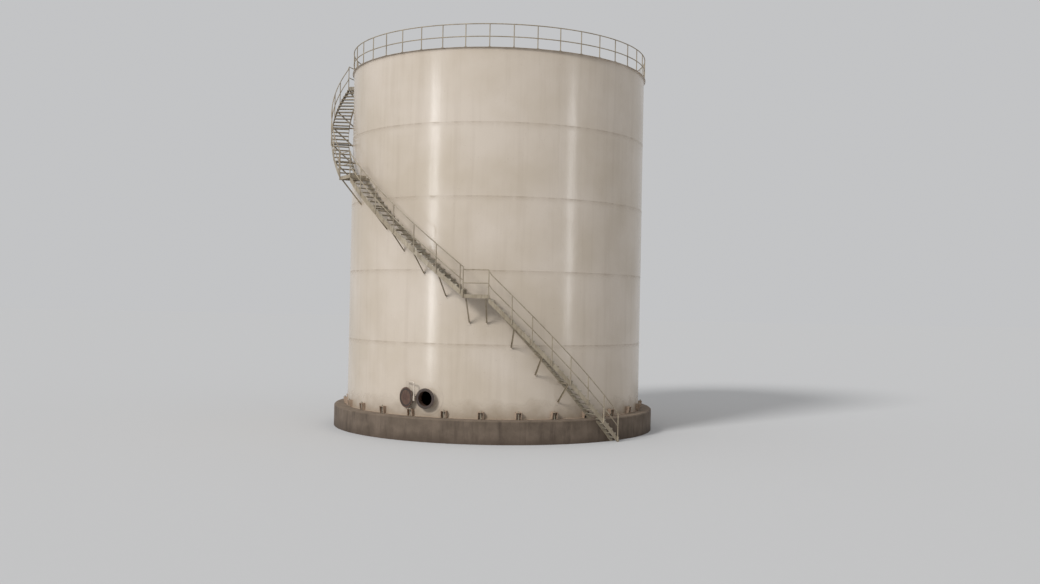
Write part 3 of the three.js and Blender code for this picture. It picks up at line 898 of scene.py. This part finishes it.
def makeDavitSocket():
    mesh = bmesh.new()
    addTurned(mesh, rectangle(davit["socketBore"], davit["socket"], davit["low"], davit["high"]), 40, post)
    # a web and two ribs carry it on the wall
    web = davit["out"] - davit["socket"] + 0.004
    depth, middle = web - wall["radius"] + 0.06, (wall["radius"] + web) / 2
    for level, width, height in ((-0.010, 0.012, 0.180), (-0.098, 0.060, 0.008), (0.076, 0.060, 0.008)):
        place = Matrix.Translation((-davit["offset"], -middle, manway["level"] + level))
        addBox(mesh, place, (width, depth, height))
    finishPiece("davitSocket", mesh, shellTopcoat, "shell_paint", "davit_socket", bevel=0.002)


def makeDavitArm():
    mesh = bmesh.new()
    tube, high, out, socket = (davit[key] for key in ("tube", "high", "out", "socket"))
    arm = davit["armHeight"] - tube
    path = [(-davit["offset"], davit["low"]), (-davit["offset"], arm), (tube, arm)]
    addTube(mesh, bent([onCover(x, y, out) for x, y in path], davit["bend"], 8), tube, 24)
    collar = [(tube - 0.001, high + 0.0003), (socket, high + 0.0003),
              (socket, high + 0.018), (tube - 0.001, high + 0.0203)]
    addTurned(mesh, collar, 40, swing @ post)
    # the rod that the cover hangs from, with a nut above and below the arm
    foot = manway["flange"] - davit["lugDrop"] - 0.030
    addTube(mesh, [onCover(0, y, out) for y in (arm + 0.055, foot)], davit["rod"])
    rod = swing @ Matrix.Translation((0, -out, manway["level"]))
    for level in (arm + tube, arm - tube - 0.016):
        addHexHead(mesh, moved(rod, 0, 0, level), 0.018, 0.016, crown=0)
    finishPiece("davitArm", mesh, shellTopcoat, "shell_paint", "davit_arm", body="manway_door")


def makeCover():
    inner = manway["face"] + manway["clearance"]
    outer = inner + manway["cover"]
    lug = manway["flange"] - davit["lugDrop"]
    mesh = bmesh.new()
    addThick(mesh, drilledDisc(0, manway["flange"]), onCover, inner, outer)
    cover = swing @ manwayFrame
    for x in (-0.021, 0.021):
        addBox(mesh, moved(cover, x, lug, outer + 0.012), (0.012, 0.060, 0.026))
    for y in (0.020, -0.020):
        addBox(mesh, moved(cover, 0, lug + y, outer + 0.0235), (0.054, 0.014, 0.006))
    for x in (-davit["grip"], davit["grip"]):
        grip = ((-0.075, -0.002), (-0.075, 0.045), (0.075, 0.045), (0.075, -0.002))
        addTube(mesh, bent([onCover(x, y, outer + z) for y, z in grip], 0.022), 0.009, 10)
    finishPiece("manwayCover", mesh, oxidePrimer, "primer", "manway_cover", body="manway_door", bevel=0.0008)

    mesh = bmesh.new()
    addTurned(mesh, rectangle(*manway["gasket"], inner - 0.003, inner + 0.0005), 84, cover)
    finishPiece("coverGasket", mesh, gasketFibre, "primer", body="manway_door")


makeManway()
makeDavitSocket()
makeDavitArm()
makeCover()
print("manway made")


stair = {
    "inner": 6.900,
    "outer": 7.660,
    "plate": 0.012,
    "above": 0.005,
    "below": 0.230,
    "toeTop": base["height"] - 0.06,
    "toeThickness": 0.014,
    "treadDepth": 0.235,
    "bars": 8,
    "barDepth": 0.032,
    "barThickness": 0.005,
    "barSpacing": 0.034,
    "crossSpacing": 0.100,
    "frameDepth": 0.150,
    "angleLeg": 0.060,
    "angleThickness": 0.007,
    "braceDrop": 0.850,
    "landingDrop": 1.060,
    "pad": 0.170,
    "deckInner": 6.640,  # how far the top landing's deck reaches in over the roof
}
landings = [
    {"start": 21.45, "end": 13.85, "level": wall["bottom"] + 5.0},
    {"start": -30.95, "end": -38.95, "level": wall["bottom"] + 10.0},
    {"start": -83.75, "end": -91.75, "level": roof["rim"] + 0.060},
]
flights = [
    {"start": 66.45, "low": 0.0, "risers": 30, "brackets": (29.25, 37.85, 46.45)},
    {"start": landings[0]["end"], "low": landings[0]["level"], "risers": 25,
     "brackets": (6.05, -2.55, -11.15, -19.75)},
    {"start": landings[1]["end"], "low": landings[1]["level"], "risers": 26,
     "brackets": (-46.75, -55.35, -63.95, -72.55)},
]
for flight, landing in zip(flights, landings):
    flight["end"] = landing["start"]
    flight["rise"] = (landing["level"] - flight["low"]) / flight["risers"]
    flight["pitch"] = (flight["start"] - flight["end"]) / (flight["risers"] - 1)
outwards = Matrix.Rotation(math.pi / 2, 4, "Y")  # turns a bolt's head to face out of the tank


def lineAt(flight, angle):
    # the line through the treads' tops
    return flight["low"] + flight["rise"] * ((flight["start"] - angle) / flight["pitch"] + 0.5)


def addAngleBar(mesh, start, end, upward):
    # rolled angle between two points, its legs down and outwards from the path
    run = (end - start).normalized()
    up = (upward - run * run.dot(upward)).normalized()
    turned = axes(run.cross(up), run, up)
    half, thick = stair["angleLeg"] / 2, stair["angleThickness"]
    outline = [(-half, half), (half, half), (half, half - thick), (thick - half, half - thick),
               (thick - half, -half), (-half, -half)]
    addSweep(mesh, [Matrix.Translation(point) @ turned for point in (start, end)], outline)


def addBracket(mesh, pads, angle, level, drop):
    # an arm out from the wall and a brace that rises to its end, each on a pad
    up, foot = Vector((0, 0, 1)), level - drop
    addAngleBar(mesh, onWall(angle, wall["radius"], level), onWall(angle, stair["outer"], level), up)
    tip = onWall(angle, stair["outer"] - 0.03, level - 0.01)
    addAngleBar(mesh, onWall(angle, wall["radius"], foot), tip, up)
    for height in (level, foot):
        addBox(pads, wallFrame(angle, wall["radius"] + 0.003, height), (0.010, stair["pad"], stair["pad"]))


def addTread(grating, nosing, place, inner, outer):
    # open grating of load bars and cross rods between two end plates, with an angle along its front edge
    middle, width = (inner + outer) / 2, outer - inner
    depth, bar = stair["treadDepth"], stair["barDepth"]
    for y in spread(-depth / 2 + 0.012, depth / 2 - 0.03, stair["bars"] - 1):
        addBox(grating, moved(place, middle, y, -bar / 2), (width, stair["barThickness"], bar))
    for x in spread(inner + 0.05, outer - 0.05, max(2, round(width / stair["crossSpacing"]))):
        addBox(grating, moved(place, x, -0.008, -0.005), (0.006, depth - 0.03, 0.008))
    for x in (inner + 0.003, outer - 0.003):
        addBox(grating, moved(place, x, 0, -0.030), (0.005, depth, 0.062))
    addBox(nosing, moved(place, middle, depth / 2 - 0.018, -0.001), (width, 0.036, 0.004))
    addBox(nosing, moved(place, middle, depth / 2 - 0.002, -0.018), (width, 0.004, 0.034))


def addStringer(mesh, flight, angles, near, far, floor=0.0, ceiling=math.inf):
    # a plate that follows the flight, cut off level at a floor and at a ceiling
    rings = []
    for angle in angles:
        line = lineAt(flight, angle)
        low, high = max(line - stair["below"], floor), min(line + stair["above"], ceiling)
        if high - low > 0.02:
            rings.append([mesh.verts.new(onWall(angle, radius, level))
                          for radius, level in rectangle(near, far, low, high)])
    joinRings(mesh, rings)


def makeFlight(number, flight):
    plates, treads, bolts, pads = (bmesh.new() for _ in range(4))
    half, start = stair["plate"] / 2, flight["start"]
    inner, outer = stair["inner"], stair["outer"]
    toe = base["radius"] + stair["toeThickness"]
    ground = number == 1
    angles = spread(start, flight["end"], (flight["risers"] - 1) * 2)
    addStringer(plates, flight, angles, inner - half, inner + half, base["height"] if ground else 0.0)
    addStringer(plates, flight, angles, outer - half, outer + half)
    if ground:
        # beside the base a short plate on its side takes the place of the inner stringer
        angles = spread(start, start - 8.0, 16)
        addStringer(plates, flight, angles, base["radius"] - 0.002, toe, ceiling=stair["toeTop"])
    middle = (inner + outer) / 2
    for k in range(1, flight["risers"]):
        level = flight["low"] + k * flight["rise"]
        near = toe if ground and level - 0.06 < base["height"] else inner + half
        place = wallFrame(start - (k - 0.5) * flight["pitch"], middle, level)
        addTread(treads, plates, place, near - middle, outer - half - middle)
        for y in (-0.085, 0.015):
            head = moved(place, outer + half - middle, y, -0.046) @ outwards
            addHexHead(bolts, head, 0.012, 0.008, sunk=0.002)
    for angle in flight["brackets"]:
        addBracket(plates, pads, angle, lineAt(flight, angle) - stair["below"] + 0.030, stair["braceDrop"])
    node = f"stair_flight_{number}"
    finishPiece(f"stringers_{number}", plates, stairEnamel, "stair_paint", node, bevel=0.0015)
    finishPiece(f"treads_{number}", treads, zincSteel, "stair_paint")
    finishPiece(f"treadBolts_{number}", bolts, zincSteel, "stair_paint")
    finishPiece(f"bracketPads_{number}", pads, shellTopcoat, "shell_paint", bevel=0.003)


def makeLanding(number, landing):
    mesh, grating, pads = (bmesh.new() for _ in range(3))
    plate, bar = stair["plate"], stair["barDepth"]
    inner, outer = stair["inner"] - plate / 2, stair["outer"] + plate / 2
    start, end, level = landing["start"], landing["end"], landing["level"]
    low = level - stair["frameDepth"]
    top = landing is landings[-1]
    angles, ends = spread(end, start, 8), ((start, -1), (end, 1))
    for near, far in ((inner, inner + plate), (outer - plate, outer)):
        addCurvedBar(mesh, angles, near, far, low, level)
    for angle, side in ends:
        place = moved(wallFrame(angle, (inner + outer) / 2, (low + level) / 2), 0, side * plate / 2, 0)
        addBox(mesh, place, (outer - inner, plate, stair["frameDepth"]))

    deckInner, deckOuter = stair["deckInner"] if top else inner + plate, outer - plate
    bars = round(math.radians(start - end) * deckOuter / stair["barSpacing"])
    for angle in spread(end + 0.15, start - 0.15, bars):
        place = wallFrame(angle, (deckInner + deckOuter) / 2, level - bar / 2)
        addBox(grating, place, (deckOuter - deckInner, stair["barThickness"], bar))
    for radius in spread(deckInner + 0.03, deckOuter - 0.04, 8 if top else 6):
        cross = radius - 0.003, radius + 0.003, level - 0.009, level - 0.001
        addCurvedBar(grating, spread(end + 0.1, start - 0.1, 8), *cross)
    if top:
        # over the roof the deck ends on a flat bar, with another down each side
        addCurvedBar(grating, angles, deckInner - 0.004, deckInner + 0.004, level - 0.036, level)
        for angle, side in ends:
            place = moved(wallFrame(angle, (deckInner + inner) / 2, level - 0.018), 0, side * 0.004, 0)
            addBox(grating, place, (inner - deckInner, 0.008, 0.036))

    arm = wall["top"] - roof["curbLeg"] - 0.120 if top else low + 0.030
    for angle in (end + 0.8, start - 0.8):
        addBracket(mesh, pads, angle, arm, stair["landingDrop"])
        for radius in (stair["inner"], stair["outer"] - 0.030) if top else ():
            ends = [onWall(angle, radius, height - 0.03) for height in (arm, level)]
            addAngleBar(mesh, *ends, onWall(angle, 1.0, 0.0))
    node = f"stair_landing_{number}"
    finishPiece(f"landingFrame_{number}", mesh, stairEnamel, "stair_paint", node, bevel=0.0015)
    finishPiece(f"landingGrating_{number}", grating, zincSteel, "stair_paint")
    finishPiece(f"landingPads_{number}", pads, shellTopcoat, "shell_paint", bevel=0.003)


rails = {
    "radius": 0.021,
    "let": 0.004,  # how far the posts are let into the stringer
    "height": 1.000,
    "mid": 0.470,
    "postPitch": 4,  # treads from one post to the next
    "endPost": 0.100,  # how far a landing's last post stands above the rail
    "shoe": (0.010, 0.075, 0.110),
    "foot": (0.085, 0.100, 0.009),
    "roofHeight": 0.950,
    "roofMid": 0.440,
    "roofDistance": 6.725,
    "roofFirst": -72.25,
    "roofPitch": 8.37,
    "roofPosts": 41,
    "baysPerPanel": 9,
}
handrailRadius = stair["outer"] + stair["plate"] / 2 - rails["let"] + rails["radius"]


def addUpright(mesh, angle, radius, low, high):
    addTube(mesh, [onWall(angle, radius, level) for level in (low, high)], rails["radius"])


def addPost(mesh, shoes, angle, low, high):
    addUpright(mesh, angle, handrailRadius, low, high)
    place = wallFrame(angle, stair["outer"] + stair["plate"] / 2, low + 0.060)
    addBox(shoes, moved(place, 0.003, 0, 0), rails["shoe"])
    for z in (-0.034, 0.034):
        for y in (-0.028, 0.028):
            addHexHead(shoes, moved(place, 0.008, y, z) @ outwards, 0.009, 0.007)


def makeHandrail(number, flight, landing):
    mesh, shoes = bmesh.new(), bmesh.new()
    size, height = rails["radius"], rails["height"]
    start, end, level = landing["start"], landing["end"], landing["level"]
    top = landing is landings[-1]
    treads = flight["risers"] - 1
    for k in range(1, treads - 1, rails["postPitch"]):
        angle = flight["start"] - (k - 0.5) * flight["pitch"]
        line = lineAt(flight, angle)
        addPost(mesh, shoes, angle, max(0.0, line - 0.150), line + height - size)
    foot = level - stair["frameDepth"]
    addPost(mesh, shoes, start, foot, level + height - size)
    addPost(mesh, shoes, end, foot, level + height + (0.0 if top else rails["endPost"]))

    first = flight["start"] - (0.5 * flight["pitch"] if number == 1 else 0.18)
    for above in (rails["mid"] - size, height - size):
        path = [onWall(angle, handrailRadius, lineAt(flight, angle) + above)
                for angle in spread(first, start + 0.9, treads)]
        path += [onWall(angle, handrailRadius, level + above) for angle in spread(start - 0.2, end, 5)]
        if top:
            # it turns in along the landing's end and meets the roof's railing
            inwards = (end, handrailRadius - 0.04), (end, rails["roofDistance"] + size)
            path[-1:] = [onWall(angle, radius, level + above)
                         for angle, radius in ((end + 0.3, handrailRadius), *inwards)]
        addTube(mesh, path, size)
    finishPiece(f"handrail_{number}", mesh, stairEnamel, "stair_paint", f"stair_handrail_{number}")
    finishPiece(f"postShoes_{number}", shoes, stairEnamel, "stair_paint", bevel=0.0015)


def makeRoofRailing():
    size, distance, top = rails["radius"], rails["roofDistance"], landings[-1]
    low = roofLevel(distance)
    clear = math.degrees((size + 0.0003) / distance)
    even = [rails["roofFirst"] + i * rails["roofPitch"] for i in range(rails["roofPosts"])]
    posts = [top["start"] + clear, *even, top["end"] + 360 - clear]
    last = len(posts) - 1
    for number, first in enumerate(range(0, last, rails["baysPerPanel"]), 1):
        final = min(first + rails["baysPerPanel"], last)
        mesh = bmesh.new()
        for angle in posts[first:final] + (posts[last:] if final == last else []):
            addUpright(mesh, angle, distance, low - 0.004, low + rails["roofHeight"] - size)
            addBox(mesh, wallFrame(angle, distance, low + 0.004), rails["foot"])
            for y in (-0.036, 0.036):
                addHexHead(mesh, moved(wallFrame(angle, distance, low + 0.008), 0, y, 0), 0.011, 0.010)
        angles = spread(posts[first], posts[final], (final - first) * 4)
        for height in (rails["roofMid"], rails["roofHeight"]):
            addTube(mesh, [onWall(angle, distance, low + height - size) for angle in angles], size)
        node = f"roof_railing_{number}"
        finishPiece(f"roofRailing_{number}", mesh, stairEnamel, "stair_paint", node, bevel=0.001)


for number, flight in enumerate(flights, 1):
    makeFlight(number, flight)
for number, landing in enumerate(landings, 1):
    makeLanding(number, landing)
for number, (flight, landing) in enumerate(zip(flights, landings), 1):
    makeHandrail(number, flight, landing)
makeRoofRailing()
print("stair and railings made")


view = {
    "turn": 23.45,  # round the tank from the manway
    "distance": 49.04,
    "height": 5.64,
    "yaw": 1.34,
    "tilt": 0.62,
    "roll": 1.11,
    "focal": 779.0,  # in pixels of a frame 1040 wide
    "frameWidth": 1040,
    "closer": 1.35,
    "sensor": 36.0,
    "reach": 400,
}


def makeCamera():
    camera = bpy.data.cameras.new("camera")
    camera.sensor_width = view["sensor"]
    camera.lens = view["focal"] * view["closer"] / view["frameWidth"] * view["sensor"]
    camera.clip_end = view["reach"]
    eye = addObject("camera", camera)
    yaw, tilt, roll = (math.radians(view[key]) for key in ("yaw", "tilt", "roll"))
    forward = Vector((math.sin(yaw) * math.cos(tilt), math.cos(yaw) * math.cos(tilt), math.sin(tilt)))
    level = Vector((math.cos(yaw), -math.sin(yaw), 0))
    above = level.cross(forward)
    right = math.cos(roll) * level + math.sin(roll) * above
    above = math.cos(roll) * above - math.sin(roll) * level
    turned = Matrix.Rotation(math.radians(view["turn"]), 4, "Z") @ axes(right, above, -forward)
    eye.matrix_world = Matrix.Translation(onWall(view["turn"], view["distance"], view["height"])) @ turned
    bpy.context.scene.camera = eye


studio = {
    "floor": "#cccccc",
    "floorReach": 1500.0,
    "sky": "#fcfdff",
    "skyStrength": 0.56,  # as bright as the lit floor, so that no horizon shows
    "keyStrength": 2.1,
    "keyAngle": 14,
    "keyTurn": -42,  # from the left of the camera
    "keyHeight": 33,
    # tall softboxes whose reflections stand as upright streaks on the paint
    "strips": (
        {"turn": -44, "distance": 34, "height": 11, "size": (2.0, 20), "power": 1900},
        {"turn": 52, "distance": 36, "height": 12, "size": (1.2, 18), "power": 1000},
    ),
    "stripsAim": 8,  # height on the tank's axis that they point at
}


def turnTo(lamp, towards):
    lamp.rotation_mode = "QUATERNION"
    lamp.rotation_quaternion = towards.to_track_quat("Z", "Y")


def makeStudio():
    mesh = bmesh.new()
    mesh.faces.new([mesh.verts.new(onWall(turn, studio["floorReach"], 0.0)) for turn in range(0, 360, 3)])
    # Plain paper: matt and even, so that it shows nothing but the tank's shadow.
    paper, tree, shader, _ = newFinish("PlainPaperFloor")
    dull = {"Base Color": colourOf(studio["floor"]), "Roughness": 1.0, "Specular IOR Level": 0.0}
    setSockets(tree, shader, dull)
    addObject("floor", meshData("floor", mesh, paper))

    world = bpy.data.worlds.new("softSky")
    world.use_nodes = True
    sky = {"Color": colourOf(studio["sky"]), "Strength": studio["skyStrength"]}
    setSockets(world.node_tree, world.node_tree.nodes["Background"], sky)
    bpy.context.scene.world = world

    key = bpy.data.lights.new("key", "SUN")
    key.energy = studio["keyStrength"]
    key.angle = math.radians(studio["keyAngle"])
    height = math.tan(math.radians(studio["keyHeight"]))
    turnTo(addObject("key", key), onWall(view["turn"] + studio["keyTurn"], 1.0, height))

    for number, strip in enumerate(studio["strips"], 1):
        light = bpy.data.lights.new(f"softbox_{number}", "AREA")
        light.shape = "RECTANGLE"
        light.size, light.size_y = strip["size"]
        light.energy = strip["power"]
        box = addObject(f"softbox_{number}", light)
        box.location = onWall(view["turn"] + strip["turn"], strip["distance"], strip["height"])
        box.visible_diffuse = False
        turnTo(box, box.location - Vector((0, 0, studio["stripsAim"])))


makeCamera()
makeStudio()
bpy.context.scene.view_settings.view_transform = "Standard"
print("studio made")
